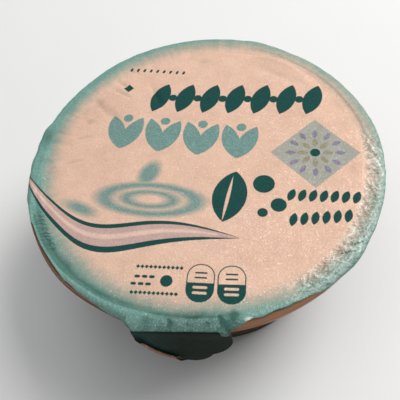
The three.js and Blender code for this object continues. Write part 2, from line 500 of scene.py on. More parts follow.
def ribbon(p):
    """A wave that runs in from the left edge and thins out to a point on the right: the distances
    above its upper line and below its lower line, and its half width there."""
    x, y = p.split()
    along = p.paint.stretch(x, *RIBBON_ENDS)
    rise = (-x - 48.2).math("SMOOTH_MAX", 0.0, 24.0)
    sway = ((x + 34.0) / 15.0).math("SINE") * 2.6
    middle = rise + sway - 40.5
    half = (along * float(np.pi)).math("SINE").math("MAXIMUM", 0.0) * RIBBON_HALF_WIDTH
    return y - middle - half, middle - half - y, half


def ripples(p):
    """Soft drop with two rings spreading below it, and a stray drop to the left."""
    drop = oval(p, (-23.5, -7.4), 62, 6.6, 4.2)
    low = p.seen_from((-22.0, -21.5), -6.0, (1.0, 0.36)).vector("LENGTH")
    rings = [(low - radius).math("ABSOLUTE") * 0.5 - width for radius, width in ((10.5, 1.7), (20.5, 2.1))]
    stray = oval(p, (-52.5, -25.4), -24, 7.4, 2.7)
    return union([drop, *rings, stray])


def rosette(p):
    """What stands on the diamond: an inner and an outer ring of leaves, and a disc."""
    own = p.seen_from(*DIAMOND)
    inner = leaf(in_ring(own, 8).seen_from((5.6, 0)), 2.5, 1.2)
    outer = leaf(in_ring(own, 12).seen_from((10.7, 0)), 2.4, 1.15)
    return inner, outer, disc(own, 2.2)


def field_colour(paint, p):
    """Peach field that feathers out into a teal ring, darkened towards the tab by painted shade."""
    x, y = p.split()
    heading = p.vector("NORMALIZE")
    mottle = paint.noise(p, 19.0, 2.0)
    colour = paint.mix(paint.stretch(mottle, 0.35, 0.7), PEACH, PEACH_SHADE)

    spokes = heading.vector("MULTIPLY", (28.0, 28.0, 1.0))
    reach = p.seen_from(FIELD_CENTRE).vector("LENGTH")
    reach = reach + (paint.noise(p, 5.0, 3.0) - 0.5) * 4.0 + (paint.noise(spokes, 1.0) - 0.5) * 3.0
    lower_right = heading.vector("DOT_PRODUCT", (0.8, -0.6, 0.0))
    by_tab = heading.vector("DOT_PRODUCT", (0.17, -0.985, 0.0))
    reach = reach - paint.stretch(lower_right, 0.72, 0.9, 0.0, 0.8, smooth=True)
    reach = reach + paint.stretch(by_tab, 0.965, 0.995, 0.0, 1.2, smooth=True)
    colour = paint.mix(paint.stretch(reach, *TEAL_REACH, smooth=True), colour, TEAL_RIM)
    # painted shade, deepening towards the fold at the tab
    shade_toward_fold = y + x.math("ABSOLUTE") * 0.12 + paint.noise(p, 6.0, 3.0) * 4.0
    return colour.vector("MULTIPLY", paint.stretch(shade_toward_fold, -69.0, -77.5, 1.0, 0.5))


def print_colour(paint, p):
    """Colour of the printed side at each place of the blank, and how opaque and dark its ink is."""
    speckle = (paint.noise(p, 0.55, 1.0) - 0.5) * 0.5
    x, y = p.split()
    colour = field_colour(paint, p)

    diamond = lozenge(p.seen_from(*DIAMOND), 19.6, 19.2)
    colour = paint.mix(ink(diamond + speckle, 0.3), colour, DIAMOND_GREY)
    inner, outer, heart = rosette(p)
    colour = paint.mix(ink(outer + speckle * 0.5, 0.25) * 0.95, colour, VIOLET)
    colour = paint.mix(ink(inner + speckle * 0.5, 0.25) * 0.95, colour, OLIVE)

    above, below, half = ribbon(p)
    band = above.math("MAXIMUM", below)
    colour = paint.mix(ink(ripples(p).math("MAXIMUM", -band), 3.0) * 0.95, colour, TEAL_INK)
    colour = paint.mix(ink(band, 0.4), colour, LILAC)
    streak = (above + half * 0.9).math("ABSOLUTE") - half * 0.2
    streak = streak.math("MAXIMUM", below).math("MAXIMUM", x - 8.0)
    colour = paint.mix(ink(streak, 1.0) * 0.7, colour, CREAM)

    colour = paint.mix(ink(sprout_row(p) + speckle, 0.3), colour, TEAL_INK)

    upper_line = above.math("ABSOLUTE") - half * 0.18
    lower_line = below.math("ABSOLUTE") - half * 0.25
    lines = union([upper_line, lower_line]).math("MAXIMUM", x - 17.0)
    dark = union([
        leaf_frieze(p), large_leaf(p), small_leaf_rows(p), lozenge_block(p), capsules(p),
        small_marks(p), heart, lines,
    ])
    dark_ink = ink(dark + speckle * 0.6, 0.28)
    colour = paint.mix(dark_ink, colour, DARK_INK)
    # the tab is coloured with painted shade, less of it on the left
    tip = paint.stretch((x - TAB_TIP_X).math("ABSOLUTE"), 0.0, TAB_TIP_HALF_WIDTH, TAB_TIP_LENGTH, 0.0)
    on_tab = paint.stretch(y + tip, FOLD_Y - 0.3, FOLD_Y - 1.0)
    tab_shade_colour = paint.mix(paint.stretch(x + paint.noise(p, 5.0) * 12.0, -16.0, 0.0), TAB_INK_LESS_SHADED, TAB_INK_IN_SHADE)
    return paint.mix(on_tab, colour, tab_shade_colour), dark_ink.math("MAXIMUM", on_tab)


# ==== materials ====

FLAKE_SIZE = 0.4  # millimetres on the blank
FLAKE_LEAN = 0.6  # how far a flake leans, as a share of its normal
EMBOSS_SIZE = 0.9
EMBOSS_DEPTH = 0.00012  # metres, as are the depths below
CRINKLE_DEPTH = 0.001
STROKE_DEPTH = 0.0004


def short_strokes(paint, p):
    """Short wrinkle strokes across the groove on the near left, from 0 to 1, which the foil is bumped by
    and darkened by as painted shade.
    """
    pitch = 1.8
    inwards, backwards = p.seen_from((-66.5, -36.8), 29.0).split()
    out = p.vector("LENGTH") - 75.4
    across = (out * 0.6 - backwards * 0.8) / pitch + paint.noise(p, 3.5, 2.0) * 2.6
    line = paint.stretch((across.math("FRACT") - 0.5).math("ABSOLUTE"), 0.12, 0.3, 1.0, 0.0)
    in_groove = paint.stretch(out.math("ABSOLUTE"), 1.2, 2.8, 1.0, 0.0)
    near = paint.stretch(inwards, 8.0, 9.0, 1.0, 0.0)
    return line * (in_groove * near) * paint.stretch(backwards.math("ABSOLUTE"), 6.0, 13.0, 1.0, 0.0)


def foil_material():
    """Translucent inks on embossed foil: fine grain, ink worn off sharp ridges, and flakes that glint when
    they face a light and also carry a little painted glint in their colour. Shade is painted into folds,
    dents, wrinkles and the groove, and highlights along the crimps' ridges."""
    paint = Paint("printed_foil")
    p = paint.coordinates("blank")
    colour, opaque = print_colour(paint, p)
    grain = paint.stretch(paint.noise(p, 0.5, 2.0, 0.7), 0.3, 0.7, 0.89, 1.11)
    cloud = paint.stretch(paint.noise(p, 7.0, 3.0, 0.55), 0.3, 0.7, 0.95, 1.05)
    colour = colour.vector("MULTIPLY", grain * cloud)
    # for each point: ink worn off with painted highlights, painted shade, and where fine wrinkles are
    rubbed_and_glints, shade_share, crinkled = paint.coordinates("wear_and_shade").split(3)
    wrinkle = (paint.noise(p, 2.2, 3.0, 0.6) - 0.5).math("ABSOLUTE")
    # painted highlights along the fine wrinkles' ridges, painted shade in their valleys
    ridge = paint.stretch(wrinkle, 0.0, 0.028, 0.8, 0.0) * crinkled
    valley = paint.stretch(wrinkle, 0.07, 0.17) * crinkled
    strokes_left = short_strokes(paint, p)
    # painted shade in folds and dents, in the fine wrinkles' valleys and in the short strokes
    darkened = shade_share.math("MAXIMUM", valley * 0.25).math("MAXIMUM", strokes_left * 0.5)
    colour = paint.mix(darkened, colour, colour.vector("MULTIPLY", PAINTED_SHADE_TINT))
    # worn-off ink and painted highlights turn the colour silver
    ridge = rubbed_and_glints.math("MAXIMUM", ridge)
    colour = paint.mix(ridge * 0.72, colour, SILVER)

    chance, lean_x, lean_y = paint.cells(p, FLAKE_SIZE)
    flake = paint.stretch(chance, 0.45, 1.0) * (opaque * -0.9 + 1.0) * (shade_share * -0.8 + 1.0)
    lean = paint.combine((lean_x - 0.5) * FLAKE_LEAN, (lean_y - 0.5) * FLAKE_LEAN)
    emboss = paint.relief(paint.noise(p, EMBOSS_SIZE, 2.0, 0.6), EMBOSS_DEPTH)
    emboss = paint.relief(wrinkle * crinkled * -1.0, CRINKLE_DEPTH, emboss)
    emboss = paint.relief(-strokes_left, STROKE_DEPTH, emboss)
    glinting = emboss.vector("ADD", lean).vector("NORMALIZE")

    # the flakes' paler colour is a painted glint on top of their real one
    paint.set(Base_Color=paint.mix(flake * 0.15, colour, FLAKE), Specular_IOR_Level=0.05)
    paint.set(Metallic=flake * 0.25 + ridge * 0.2 + 0.02)
    paint.set(Roughness=opaque * 0.15 + 0.45 - ridge * 0.1)
    paint.set(Normal=paint.mix(flake, emboss, glinting, kind="VECTOR"))
    return paint.material


def bare_foil_material():
    """The unprinted side, with a thin brown heat-seal coat that is worn at the edge."""
    paint = Paint("bare_foil")
    p = paint.coordinates("blank")
    tone = paint.noise(p, 2.4, 3.0, 0.65)
    colour = paint.mix(paint.stretch(tone, 0.5, 0.66), FOIL_BACK, FOIL_BACK_LIGHT)
    normal = paint.relief(paint.noise(p, 1.2, 2.0), 0.0002)
    paint.set(Base_Color=colour, Metallic=0.4, Normal=normal)
    paint.set(Roughness=paint.stretch(tone, 0.3, 0.7, 0.35, 0.5))
    return paint.material


def scaled(colour, factor):
    return tuple(channel * factor for channel in colour)


def plastic_material():
    """Satin plastic with faint flow marks down the wall. The wall is painted much darker than the lip, as
    painted shade under the lip; the lip has painted shade on the left, and a painted highlight along one
    line of its bead on the right."""
    paint = Paint("tub_plastic")
    at = paint.coordinates()
    cloud = paint.stretch(paint.noise(at, 0.03, 3.0), 0.35, 0.65)
    lip = paint.mix(cloud, PLASTIC, scaled(PLASTIC, 0.86))
    # painted shade on the wall under the lip
    wall = paint.mix(cloud, WALL_IN_SHADE, scaled(WALL_IN_SHADE, 1.2))
    distance = at.vector("MULTIPLY", (1.0, 1.0, 0.0)).vector("LENGTH")
    lip_inside = (LIP_RADIUS - LIP_WALL) * METRES
    on_lip = paint.stretch(distance, lip_inside - 0.0008, lip_inside)
    x, _, z = at.split(3)
    # painted shade on the left of the lip
    lip = lip.vector("MULTIPLY", paint.stretch(x, -0.03, 0.03, 0.54, 1.0, smooth=True))
    colour = paint.mix(on_lip, wall, lip)
    # a painted highlight along the bead on the right
    bead_height = (FLANGE_TOP - LIP_DROP + LIP_WALL * 0.6) * METRES
    painted_highlight = ((z - bead_height) / 0.0004).math("ABSOLUTE")
    painted_highlight = paint.stretch(painted_highlight, 1.0, 0.4) * paint.stretch(x, 0.025, 0.045) * on_lip
    colour = paint.mix(painted_highlight * 0.8, colour, FLAKE)
    flow = paint.noise(at.vector("MULTIPLY", (1.0, 1.0, 0.12)), 0.004, 2.0)
    fine = paint.noise(at, 0.0006, 2.0)
    normal = paint.relief(fine, 0.00001, paint.relief(flow, 0.00008))
    paint.set(Base_Color=colour, Normal=normal, Specular_IOR_Level=0.05)
    paint.set(Roughness=paint.stretch(flow, 0.3, 0.7, 0.3, 0.42) + (on_lip * -0.3 + 0.3))
    paint.set(Subsurface_Weight=0.15, Subsurface_Scale=0.003)
    return paint.material


def floor_material():
    paint = Paint("floor")
    at = paint.coordinates()
    tone = paint.stretch(paint.noise(at, 0.15, 3.0), 0.3, 0.7)
    paint.set(Base_Color=paint.mix(tone, FLOOR, scaled(FLOOR, 0.98)), Roughness=0.7)
    return paint.material


# ==== shape of the rim ====

def from_tab(x, y):
    """Direction of a place, in degrees from the tab's, positive towards +X."""
    return np.degrees(np.arctan2(x, -y))


def rim_offset(angle):
    """How far the knocked rim stands out of round, of the tub and of the foil on it."""
    upper_left = 1.0 * between(angle, -152, -124, -109, -105) + 0.55 * hill(angle, -95, 5)
    upper_right = 0.6 * between(angle, 104, 120, 146, 156)
    bumps = 0.75 * hill(angle, 162, 6) + 0.6 * hill(angle, 53, 9) + 0.2 * hill(angle, -104, 4)
    lower_left = 1.3 * between(angle, -84, -66, -48, -26)
    return bumps + lower_left - upper_left - upper_right


# ==== tub ====

def tub_profile():
    """Radius and height from the middle of the base up the outside and in to the axis again."""
    under_flange = FLANGE_TOP - FLANGE_THICKNESS
    lip_bottom = FLANGE_TOP - LIP_DROP
    step_top = FLANGE_TOP - STACK_STEP_DROP
    lip_inside = LIP_RADIUS - LIP_WALL
    bead_radius = LIP_WALL / 2
    bead = LIP_RADIUS - bead_radius
    above_bead = LIP_RADIUS - LIP_BEAD
    return [
        (FOOT_INNER_RADIUS - 3 * BASE_RECESS, BASE_RECESS),
        *arc(FOOT_INNER_RADIUS - BASE_RECESS, BASE_RECESS / 2, BASE_RECESS / 2, 90, 0, 4),
        (FOOT_INNER_RADIUS - 0.4, 0.12),
        (FOOT_INNER_RADIUS, 0),
        *arc(BASE_RADIUS - BASE_FILLET, BASE_FILLET, BASE_FILLET, -90, -WALL_SLOPE),
        (WALL_TOP_RADIUS - 0.1, step_top - STACK_STEP_WIDTH - 0.8),
        *arc(WALL_TOP_RADIUS + 0.8, step_top - STACK_STEP_WIDTH - 0.5, 0.8, 180, 120, 4),
        *arc(NECK_RADIUS - 0.6, step_top + 0.1, 0.6, -50, 0, 4),
        (NECK_RADIUS, under_flange - 0.8),
        *arc(NECK_RADIUS + 0.8, under_flange - 0.8, 0.8, 180, 90, 4),
        (lip_inside - 0.6, under_flange),
        (lip_inside - 0.2, under_flange - 0.4),
        (lip_inside, lip_bottom + bead_radius),
        *arc(bead, lip_bottom + bead_radius, bead_radius, 180, 410, 14),
        (above_bead, lip_bottom + 3 * bead_radius),
        *arc(above_bead - SHOULDER, FLANGE_TOP - SHOULDER, SHOULDER, 0, 90),
        (FLANGE_INNER_RADIUS, FLANGE_TOP),
        (FLANGE_INNER_RADIUS - 1, FLANGE_TOP - FILL_DROP),
    ]


def make_tub():
    profile = np.array(tub_profile())
    angles = np.linspace(0, 2 * np.pi, TUB_SEGMENTS, endpoint=False)
    rings = len(profile)
    radius, height = profile.T
    knocked = rim_offset(from_tab(np.cos(angles), np.sin(angles)))
    reach = radius + knocked[:, None] * ramp(height, *TUB_KNOCK_HEIGHTS)
    across = reach * np.cos(angles)[:, None]
    deep = reach * np.sin(angles)[:, None]
    heights = np.broadcast_to(height, reach.shape)
    round_points = np.stack([across, deep, heights], axis=-1).reshape(-1, 3)
    poles = [(0, 0, height[0]), (0, 0, height[-1])]
    bottom = len(round_points)
    faces = []
    for j in range(TUB_SEGMENTS):
        here = j * rings
        after = (j + 1) % TUB_SEGMENTS * rings
        faces += [(here + i, after + i, after + i + 1, here + i + 1) for i in range(rings - 1)]
        faces.append((bottom, after, here))
        faces.append((bottom + 1, here + rings - 1, after + rings - 1))
    tub = add_mesh("tub_shell", [*round_points, *poles], faces, plastic_material())
    tub.data.set_sharp_from_angle(angle=np.radians(TUB_SHARP_ANGLE))
    return tub


# ==== foil lid ====

class Spokes:
    """The blank along each direction from its centre, as columns to set against rings."""

    def __init__(self, angles):
        self.angle = angles[:, None]
        turn = np.radians(self.angle - 90)
        self.dx = np.cos(turn)
        self.dy = np.sin(turn)
        left = ramp(self.angle, *TAB_LEFT_ANGLES)
        right = 1 - ramp(self.angle, *TAB_RIGHT_ANGLES)
        self.share = left * right
        ahead = np.minimum(self.dy, -0.5)  # so that nothing is divided by 0 away from the tab
        self.fold = np.where(self.share > 0, FOLD_Y / ahead, BEND_START)
        self.edge = smooth_max(BEND_START + self.skirt_length(), self.tongue_reach(), TAB_ROOT_BLEND)

    def skirt_length(self):
        length = np.zeros_like(self.angle)
        for (a0, l0), (a1, l1) in zip(SKIRT_LENGTHS, SKIRT_LENGTHS[1:]):
            inside = (self.angle >= a0) & (self.angle <= a1)
            length = np.where(inside, l0 + (l1 - l0) * ramp(self.angle, a0, a1), length)
        ragged = ring_noise(self.angle, 110, 0, seed=5) + 0.6 * ring_noise(self.angle, 260, 0, seed=6)
        return np.maximum(length + RAGGED * ragged * (1 - self.share), SHORTEST_SKIRT)

    def tongue_reach(self):
        tongue = ((TAB_X, FOLD_Y), (TAB_HALF_WIDTH, TAB_LENGTH))
        return np.max([self.oval_reach(*oval) for oval in (tongue, *TAB_BULGES)], axis=0)

    def oval_reach(self, centre, size):
        """Where each direction leaves an oval, or 0 where it misses it."""
        k = (size[0] / size[1]) ** 2
        a = self.dx ** 2 + k * self.dy ** 2
        b = self.dx * centre[0] + k * self.dy * centre[1]
        c = centre[0] ** 2 + k * centre[1] ** 2 - size[0] ** 2
        d = b * b - a * c
        return np.where((d > 0) & (b > 0), (b + np.sqrt(np.maximum(d, 0))) / a, 0)

    def reaches(self):
        """Distances of the rings of points from the centre, one row for each direction."""
        inner = np.linspace(FIRST_RING, SEAL_FROM, INNER_RINGS, endpoint=False)
        seal = np.linspace(SEAL_FROM, BEND_START, SEAL_RINGS, endpoint=False)
        fixed = np.concatenate([inner, seal, [BEND_START]])
        t = np.linspace(0, 1, OUTER_RINGS + 1)[1:]
        in_skirt = BEND_START + (self.edge - BEND_START) * t
        in_tab = self.fold + (self.edge - self.fold) * (1 - np.cos(np.pi * (t - t[0]) / (1 - t[0]))) / 2
        outer = in_skirt + (in_tab - in_skirt) * self.share
        return np.concatenate([np.broadcast_to(fixed, (len(self.angle), len(fixed))), outer], axis=1)


def smooth_max(a, b, blend):
    h = np.maximum(blend - np.abs(a - b), 0) / blend
    return np.maximum(a, b) + h * h * blend / 4


def groove(x, y):
    """Depth of the pressed groove round the lid: deep on the near left, faint on the far side."""
    angle = from_tab(x, y)
    depth = (
        0.1 + 1.4 * between(angle, -86, -60, -30, 4)
        + 0.5 * between(angle, -20, 2, 20, 34)
        + 0.25 * between(angle, 90, 104, 150, 170)
    )
    shift = (NEAR_GROOVE_RADIUS - GROOVE_RADIUS) * between(angle, -98, -70, -32, -8)
    beyond = np.hypot(x, y) - GROOVE_RADIUS - shift - 0.25 * noise(x / 9, y / 9, seed=11)
    fall = np.clip(1 + beyond / GROOVE_FALL, 0, 1) ** 2
    return depth * fall * (1 - ramp(beyond, 0, GROOVE_RISE))


def lid_height(x, y):
    """Height of the foil inside the bend: seal ring, pressed groove and slack membrane."""
    inside = 1 - ramp(np.hypot(x, y), MEMBRANE_FROM, MEMBRANE_TO)
    wave = np.sin(x / 17 + y / 31) + np.sin(y / 14 - x / 45 + 1.3)
    near_fold = ramp(-y, 77.6, 80.6) * between(from_tab(x, y), *TAB_LEFT_ANGLES, *TAB_RIGHT_ANGLES)
    slack = inside * (MEMBRANE_DROP + MEMBRANE_WAVE * wave)
    return HEIGHT - slack - groove(x, y) - SEAL_SLOPE * near_fold


def foil_point(way, s):
    """Outer face of the foil: a place on the flat blank, bent to where it lies on the tub."""
    x = s * way.dx
    y = s * way.dy
    height = lid_height(x, y)

    along = np.maximum(s - BEND_START, 0)
    turn = np.minimum(along / FOIL_BEND, np.pi / 2)
    r = np.minimum(s, BEND_START) + FOIL_BEND * np.sin(turn) + rim_offset(way.angle) * ramp(s, *KNOCK_REACH)
    fall = FOIL_BEND * (1 - np.cos(turn)) + along - FOIL_BEND * turn
    skirt = np.stack([r * way.dx, r * way.dy, height - fall], axis=-1)

    past = np.maximum(FOLD_Y - y, 0)
    fold = np.minimum(past / FOLD_RADIUS, np.pi / 2 - TAB_TILT)
    hang = past - FOLD_RADIUS * fold
    bow = TAB_BOW * hang * (x - TAB_X) ** 2 / (TAB_LENGTH * TAB_HALF_WIDTH ** 2)
    out = np.maximum(y, FOLD_Y) - FOLD_RADIUS * np.sin(fold) - hang * np.sin(TAB_TILT) + bow
    drop = FOLD_RADIUS * (1 - np.cos(fold)) + hang * np.cos(TAB_TILT)
    tab = np.stack([x, out, height - drop], axis=-1)
    return skirt + (tab - skirt) * way.share[..., None]


def normals_of(points):
    """Outward unit normals of a closed polar grid of points."""
    round_step = np.roll(points, -1, axis=0) - np.roll(points, 1, axis=0)
    out_step = np.gradient(points, axis=1)
    across = np.cross(out_step, round_step)
    return across / np.linalg.norm(across, axis=-1, keepdims=True)


def crease(x, y, start, end, width, depth):
    """A soft straight crease between two places, deepest in its middle."""
    along = np.subtract(end, start)
    length = np.hypot(*along)
    u = ((x - start[0]) * along[0] + (y - start[1]) * along[1]) / length
    v = ((x - start[0]) * along[1] - (y - start[1]) * along[0]) / length
    return depth * hill(u, length / 2, length * 0.6) * np.exp(-(v / width) ** 2)


# Start, end, width and depth of the creases that show on the membrane.
CREASES = [
    ((-66, 24), (-44, 42), 1.1, 0.65),
    ((-61, 19), (-50, 28), 0.9, 0.5),
    ((-56, 40), (-44, 24), 1.2, 0.5),
    ((-48, 46), (-36, 38), 1.0, 0.5),
    ((-50, 36), (-38, 20), 1.6, 0.4),
    ((-30, 26), (2, 24), 2.6, 0.32),
    ((-12, 66), (8, 60), 1.5, 0.42),
    ((20, 62), (58, 38), 1.6, 0.42),
    ((62, 12), (66, -22), 1.6, 0.22),
    ((-40, -46), (-22, -60), 2.4, 0.20),
    ((-58, 34), (-50, 44), 0.7, 0.55),
    ((-47, 52), (-37, 44), 0.8, 0.55),
    ((-41, 58), (-30, 54), 0.7, 0.5),
    ((-63, 12), (-52, 16), 0.8, 0.5),
    ((-66, -2), (-54, 2), 0.9, 0.45),
    ((-28, 48), (-20, 30), 1.2, 0.5),
]

# The same for those that cross the fold at the tab's root.
FOLD_CREASES = [
    ((-21, -74.5), (-13, -79.5), 1.5, 0.4),
    ((-10.4, -75.2), (-6.0, -80.6), 0.8, 0.7),
    ((-2.6, -76.5), (-1.4, -80.4), 0.6, 0.35),
    ((4.4, -76.0), (7.6, -80.2), 0.8, 0.35),
    ((9.0, -73.6), (13.6, -81.2), 0.9, 0.8),
    ((13.4, -70.8), (17.4, -77.0), 2.4, 0.3),
]

# And for the longest folds among the crimps.
CRIMP_CREASES = [
    ((55.4, -48.0), (64.4, -46.2), 0.45, 0.6),
    ((58.4, -44.6), (66.6, -42.6), 0.45, 0.55),
    ((53.2, -58.4), (57.0, -54.2), 0.45, 0.6),
    ((48.0, -62.9), (52.6, -60.7), 0.45, 0.6),
    ((65.6, -41.2), (69.0, -38.4), 0.45, 0.5),
    ((64.6, -53.0), (67.0, -48.6), 0.45, 0.4),
    ((61.2, -50.6), (65.0, -49.8), 0.4, 0.4),
    ((50.6, -58.0), (53.0, -55.0), 0.4, 0.45),
]

# Parts of the ring that are marked, by angles from the tab and by distances from the centre:
# where the marks begin, are in full, begin to fade and are gone.
CRIMPED = ((24, 36, 92, 106), (70.0, 72.6, 79.0, 80.6))
# the edge below the crimps carries worn-off ink and painted sheen
RUBBED_AND_SHEEN_EDGE = ((26, 40, 84, 96), (76.4, 78.6, 80.5, 82))
LEFT_WRINKLED = ((-78, -70, -54, -44), (73.5, 75.0, 77.0, 78.5))
RADIALLY_WRINKLED = ((-138, -118, -88, -76), (60, 66, 76, 79))
FAR_FOLDED = ((104, 118, 160, 176), (58, 63, 70, 74))


def marked(angle, s, part):
    """1 in a part of the ring, 0 outside it."""
    angles, reaches = part
    return between(angle, *angles) * between(s, *reaches)


def strokes(along, s, slant, pitch, seed):
    """Irregular parallel wrinkles: 0 on their sharp ridges, up to 1 between them."""
    reach = np.hypot(1, slant)
    across = (along + slant * (s - GROOVE_RADIUS)) / reach
    lengthways = (s - GROOVE_RADIUS - slant * along) / reach
    return np.abs(noise(across / pitch, lengthways / (3 * pitch), seed))


def crimps(angle, s):
    """Where the ring right of the tab is crimped, and the coarse and the fine pleats there."""
    along = np.radians(angle) * GROOVE_RADIUS
    along = along + 0.8 * noise(along / 4, s / 4, seed=21)
    coarse = strokes(along, s, slant=1.5, pitch=1.6, seed=22)
    fine = strokes(along, s, slant=-0.8, pitch=1.2, seed=23)
    return marked(angle, s, CRIMPED), coarse, fine


def crumples(x, y, s):
    """Fine sharp-edged crumpling, strongest where the foil turns over the rim."""
    ridge = np.abs(noise(x / 4.5, y / 4.5, seed=31)) + 0.55 * np.abs(noise(x / 2.3, y / 2.3, seed=32))
    return -0.13 * between(s, 70, 76.5, 90, 100) * ridge


def skirt_pleats(angle, s, share):
    """Pleats where the round edge had too much foil to lie flat on the lip."""
    fold = ring_noise(angle, 150, s / 9, seed=41)
    fine = ring_noise(angle, 330, s / 5, seed=42)
    return -(0.12 * (fold + 1) + 0.06 * (fine + 1)) * ramp(s, 77.5, 81) * (1 - share)


def rim_wrinkles(angle, s):
    """Short wrinkles on the left of the rim and radial ones above them."""
    along = np.radians(angle) * GROOVE_RADIUS
    left = marked(angle, s, LEFT_WRINKLED) * strokes(along, s, slant=0.75, pitch=2.0, seed=25)
    radial = marked(angle, s, RADIALLY_WRINKLED) * strokes(along, s, slant=0.15, pitch=3.0, seed=26)
    return -0.45 * left - 0.3 * radial


def rim_folds(angle, s):
    """Soft folds along the rim on the far right."""
    along = np.radians(angle) * GROOVE_RADIUS
    return -0.5 * marked(angle, s, FAR_FOLDED) * np.abs(noise(along / 24, s / 2.6 + along / 40, seed=27))


def groove_shade(angle, s):
    """Painted shade in the deep part of the groove, from 0 to 1."""
    beyond = s - 76.3 + 1.3 * ramp(angle, -30, -14)
    return 0.85 * between(angle, -78, -58, 2, 14) * between(beyond, -3.8, -0.2, 0.3, 1.1)


def dents(angle, s):
    """The dented corner at the upper left and the pinch at the lower left."""
    corner = 0.5 * hill(angle, -99, 4.5) * hill(s, 75.0, 6)
    pinch = 0.7 * hill(angle, -46, 4) * hill(s, 75.4, 3.2)
    return -corner - pinch


def fold_wrinkles(x, y, share):
    """Where wrinkles cross the fold, and how far down in one each place is, from 0 to 1."""
    where = share * between(-y, 71.5, 76.5, 80.2, 82)
    warped = x + 2 * noise(x / 7, y / 7, seed=53)
    return where, strokes(warped, -y, slant=1.2, pitch=3.2, seed=51)


def tab_crumples(x, y, share):
    """Waves in the tab, and the pushed-out corner beside its right root."""
    face = -0.5 * ramp(-y, 82, 92) * (1 + noise(x / 11, y / 14, seed=52)) / 2
    nose = 0.7 * hill(x, 11.6, 3.4) * ramp(-y, 79.8, 81.0) * (1 - ramp(-y, 82, 86))
    return share * (face + nose)


def roll_edge(points, normals, way, s):
    """Rolls the lower left edge of the tab outwards, so that its bare back shows from above."""
    width = CURL_WIDTH * between(way.angle, *CURL_ANGLES)
    into = np.maximum(width - (way.edge - s), 0)
    turn = into / CURL_RADIUS
    inward = -np.gradient(points, axis=1)
    inward /= np.linalg.norm(inward, axis=-1, keepdims=True)
    pulled_back = (into - CURL_RADIUS * np.sin(turn))[..., None] * inward
    lifted = (CURL_RADIUS * (1 - np.cos(turn)))[..., None] * normals
    return points + pulled_back + lifted


class WearAndShade:
    """What is folded, pressed and knocked into the foil at each place of the blank: its height over the
    smooth foil, what it does to the ink, and where shade and highlights are painted on it."""

    def __init__(self, way, s):
        self.way = way
        self.s = s
        self.x = s * way.dx
        self.y = s * way.dy
        self.crimped, self.coarse, self.fine = crimps(way.angle, s)
        self.crimp_depth = self.crimped * (0.65 * self.coarse + 0.42 * self.fine)
        self.folded, self.crossing = fold_wrinkles(self.x, self.y, way.share)
        self.wrinkles = rim_wrinkles(way.angle, s)
        self.creases = self.total(CREASES)
        self.sharp_creases = self.total(FOLD_CREASES + CRIMP_CREASES)

    def total(self, creases):
        return sum(crease(self.x, self.y, *row) for row in creases)

    def height(self):
        way = self.way
        relief = (
            self.wrinkles + rim_folds(way.angle, self.s) + crumples(self.x, self.y, self.s)
            + skirt_pleats(way.angle, self.s, way.share) + dents(way.angle, self.s)
            + tab_crumples(self.x, self.y, way.share) - 0.4 * self.folded * self.crossing
            - self.crimp_depth - self.creases - self.sharp_creases
        )
        over_tub = ramp(self.s, 75.4, 77) * (1 - way.share * ramp(-self.y, 79, 80))
        deepest = -RELIEF_LIMIT * (1 - 0.5 * way.share)
        return relief + over_tub * (np.maximum(relief, deepest) - relief)

    def rubbed_and_glints(self):
        """Where the ink is off and where highlights are painted: bare foil on the ridges of the crimps,
        which also serves as their painted highlight; the edge below them, partly bare and partly painted
        sheen; and a painted glint on a spot of the skirt's edge by the tab.
        """
        angle = self.way.angle
        sharpest = 1 - ramp(self.coarse + 0.3 * self.fine, 0.04, 0.22)
        rubbed_and_glints = self.crimped * (sharpest + 0.6 * (1 - ramp(self.fine, 0.02, 0.1)))
        # the edge below the crimps: worn-off ink and painted sheen
        rubbed_and_glints += 0.5 * marked(angle, self.s, RUBBED_AND_SHEEN_EDGE) * ramp(self.fine, 0.1, 0.5)
        # a painted glint on the skirt's edge right of the tab
        rubbed_and_glints += hill(angle, 15.3, 1.4) * between(self.s, 77.6, 78.0, 78.9, 79.3)
        return np.minimum(rubbed_and_glints, 1)

    def painted_shade(self):
        """Painted shade, where the ink is darker and hardly glints: in folds, dents and the deep groove, at
        a spot by the tab's right root and along the skirt's edge right of the tab.
        """
        way = self.way
        # painted shade by the tab's right root and in the dent at the upper left, and a painted shadow
        # along the skirt's edge right of the tab
        by_tab = hill(np.hypot(self.x - 14, self.y + 77), 0, 6.5)
        dent = hill(way.angle, -101, 6) * hill(self.s, 76, 5)
        skirt_edge = between(way.angle, 17, 22, 56, 70) * (1 - ramp(way.edge - self.s, 0.15, 0.5))
        painted_shade = (
            0.3 * ramp(-self.wrinkles, 0.1, 0.5) + 0.4 * ramp(self.crimp_depth, 0.24, 0.64)
            + 0.28 * ramp(self.creases, 0.05, 0.5) + 0.9 * ramp(self.sharp_creases, 0.05, 0.35)
            + 0.3 * self.folded * ramp(self.crossing, 0.12, 0.5)
            + 0.86 * groove_shade(way.angle, self.s) + 0.7 * by_tab + 0.6 * dent + 0.9 * skirt_edge
        )
        return np.minimum(painted_shade, 1)

    def crinkled(self):
        """Where the shader adds fine wrinkles, with painted highlights on their ridges and painted shade in
        their valleys: the crimps, and the turned edge beside them.
        """
        way = self.way
        turned = 0.3 * between(way.angle, -50, -35, 110, 125) * ramp(self.s, 75, 78) * (1 - way.share)
        return np.maximum(self.crimped, turned)


def foil_angles():
    angles = np.concatenate([np.arange(start, end - step / 2, step) for start, end, step in COLUMNS])
    return np.where(angles > 180, angles - 360, angles)


def disc_faces(count, rings, first, centre):
    """Faces of a closed polar grid of points and its centre, anticlockwise seen from above."""
    faces = []
    for j in range(count):
        here = first + j * rings
        after = first + (j + 1) % count * rings
        faces.append((centre, here, after))
        faces += [(here + i, here + i + 1, after + i + 1, after + i) for i in range(rings - 1)]
    return faces


